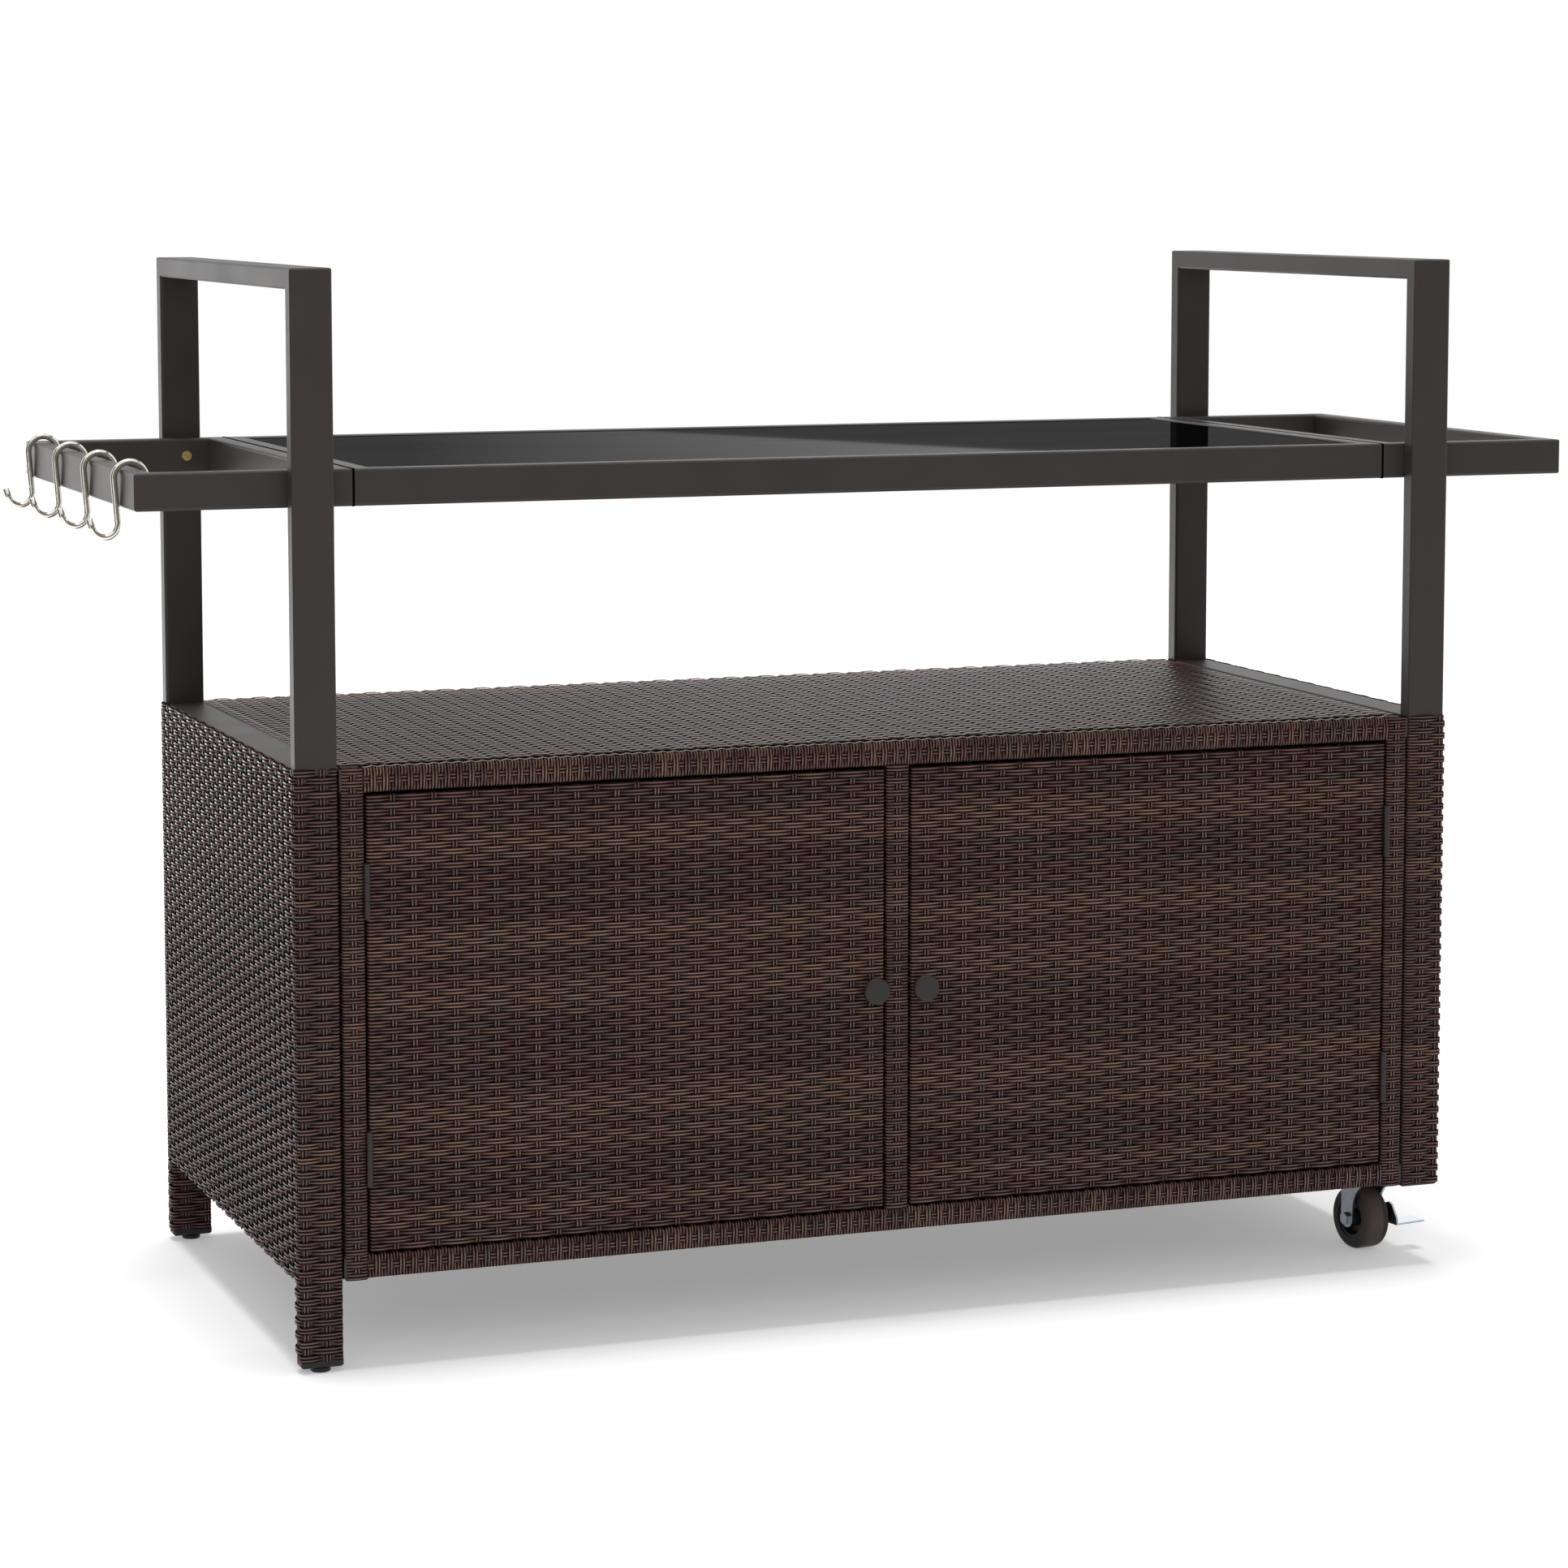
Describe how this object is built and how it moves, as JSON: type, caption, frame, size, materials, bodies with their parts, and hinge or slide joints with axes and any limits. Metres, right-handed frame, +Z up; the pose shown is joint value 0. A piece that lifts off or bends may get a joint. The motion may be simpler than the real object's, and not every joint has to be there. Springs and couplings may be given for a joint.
{
  "type": "outdoor bar cart",
  "caption": "Outdoor bar cart with a woven wicker cabinet, hinged doors, dark glass shelf, hoop end frames, bar handles, hanging hooks, feet at one end and braked casters at the other.",
  "frame": {"origin": "on the floor, under the middle of the cart's box", "axes": "+Z up, +X along the cart from the feet to the casters, -Y towards the doors"},
  "size_m": [1.5142, 0.5846, 1.034],
  "materials": {
    "frame_paint": "satin powder coat",
    "hardware_paint": "satin",
    "wicker": "ribbed woven tape",
    "dark_glass": "polished",
    "clear_rubber": "soft",
    "brass_plate": "plated",
    "zinc": "bright zinc plate",
    "black_plastic": "moulded",
    "magnet": "matt",
    "tread": "moulded",
    "polished_wire": "polished"
  },
  "bodies": {
    "cart": {"left_end_frame": "frame_paint", "right_end_frame": "frame_paint", "left_leg_wraps": "wicker", "right_leg_wraps": "wicker", "left_end_wicker": "wicker", "right_end_wicker": "wicker", "front_frame_tubes": "frame_paint", "front_frame_wicker": "wicker", "back_frame_tubes": "frame_paint", "back_wicker_panel": "wicker", "floor_frame_tubes": "frame_paint", "floor_panel": "wicker", "top_frame_tubes": "frame_paint", "top_wicker_panel": "wicker", "shelf_frame": "frame_paint", "glass_top": "dark_glass", "glass_pads": "clear_rubber", "left_handle_frame": "frame_paint", "right_handle_frame": "frame_paint", "handle_bolts": "brass_plate", "shelf_bolts": "brass_plate", "frame_bolts": "zinc", "left_leg_plugs": "black_plastic", "right_post_plugs": "black_plastic", "hinge_frame_leaves": "hardware_paint", "hinge_pins": "zinc", "hinge_frame_screws": "zinc", "door_stop_plate": "frame_paint", "catch_magnets": "magnet", "caster_plates": "zinc", "caster_plate_screws": "zinc", "caster_kingpins": "zinc"},
    "left_door": {"left_door_frame": "frame_paint", "left_door_wicker": "wicker", "left_knob": "hardware_paint", "left_knob_screw": "zinc", "left_hinge_door_leaves": "hardware_paint", "left_hinge_door_screws": "zinc"},
    "right_door": {"right_door_frame": "frame_paint", "right_door_wicker": "wicker", "right_knob": "hardware_paint", "right_knob_screw": "zinc", "right_hinge_door_leaves": "hardware_paint", "right_hinge_door_screws": "zinc"},
    "front_foot": {"front_foot": "black_plastic"},
    "front_caster": {"front_caster_fork": "zinc", "front_axle_bolt": "zinc"},
    "front_wheel": {"front_caster_tyre": "tread", "front_caster_hub": "black_plastic"},
    "front_brake": {"front_brake_lever": "zinc"},
    "rear_foot": {"rear_foot": "black_plastic"},
    "rear_caster": {"rear_caster_fork": "zinc", "rear_axle_bolt": "zinc"},
    "rear_wheel": {"rear_caster_tyre": "tread", "rear_caster_hub": "black_plastic"},
    "rear_brake": {"rear_brake_lever": "zinc"},
    "hook_1": {"hook_1": "polished_wire"},
    "hook_2": {"hook_2": "polished_wire"},
    "hook_3": {"hook_3": "polished_wire"},
    "hook_4": {"hook_4": "polished_wire"}
  },
  "joints": [
    {"name": "left_door_hinge", "type": "hinge", "parent": "cart", "child": "left_door", "pos_m": [-0.51889, -0.2818, 0.3285], "axis": [0, 0, -1], "range_deg": [0, 165]},
    {"name": "right_door_hinge", "type": "hinge", "parent": "cart", "child": "right_door", "pos_m": [0.54911, -0.2818, 0.3285], "axis": [0, 0, 1], "range_deg": [0, 165]},
    {"name": "front_caster_swivel", "type": "hinge", "parent": "cart", "child": "front_caster", "pos_m": [0.58011, -0.21225, 0.0832], "axis": [0, 0, 1], "continuous": true},
    {"name": "front_wheel_spin", "type": "hinge", "parent": "front_caster", "child": "front_wheel", "pos_m": [0.5762, -0.18756, 0.0325], "axis": [0.9877, 0.1564, 0], "continuous": true},
    {"name": "front_brake_press", "type": "hinge", "parent": "front_caster", "child": "front_brake", "pos_m": [0.5762, -0.18756, 0.0325], "axis": [0.9877, 0.1564, 0], "range_deg": [0, 18]},
    {"name": "front_foot_screw", "type": "slide", "parent": "cart", "child": "front_foot", "axis": [0, 0, -1], "range_m": [0, 0.01]},
    {"name": "rear_caster_swivel", "type": "hinge", "parent": "cart", "child": "rear_caster", "pos_m": [0.58011, 0.22725, 0.0832], "axis": [0, 0, 1], "continuous": true},
    {"name": "rear_wheel_spin", "type": "hinge", "parent": "rear_caster", "child": "rear_wheel", "pos_m": [0.5762, 0.25194, 0.0325], "axis": [0.9877, 0.1564, 0], "continuous": true},
    {"name": "rear_brake_press", "type": "hinge", "parent": "rear_caster", "child": "rear_brake", "pos_m": [0.5762, 0.25194, 0.0325], "axis": [0.9877, 0.1564, 0], "range_deg": [0, 18]},
    {"name": "rear_foot_screw", "type": "slide", "parent": "cart", "child": "rear_foot", "axis": [0, 0, -1], "range_m": [0, 0.01]},
    {"name": "hook_1_swing", "type": "hinge", "parent": "cart", "child": "hook_1", "pos_m": [-0.71689, -0.19125, 0.83967], "axis": [0, 1, 0], "range_deg": [0, 30]},
    {"name": "hook_2_swing", "type": "hinge", "parent": "cart", "child": "hook_2", "pos_m": [-0.71689, -0.05095, 0.83967], "axis": [0, 1, 0], "range_deg": [0, 30]},
    {"name": "hook_3_swing", "type": "hinge", "parent": "cart", "child": "hook_3", "pos_m": [-0.71689, 0.08935, 0.83967], "axis": [0, 1, 0], "range_deg": [0, 30]},
    {"name": "hook_4_swing", "type": "hinge", "parent": "cart", "child": "hook_4", "pos_m": [-0.71689, 0.22965, 0.83967], "axis": [0, 1, 0], "range_deg": [0, 30]}
  ]
}
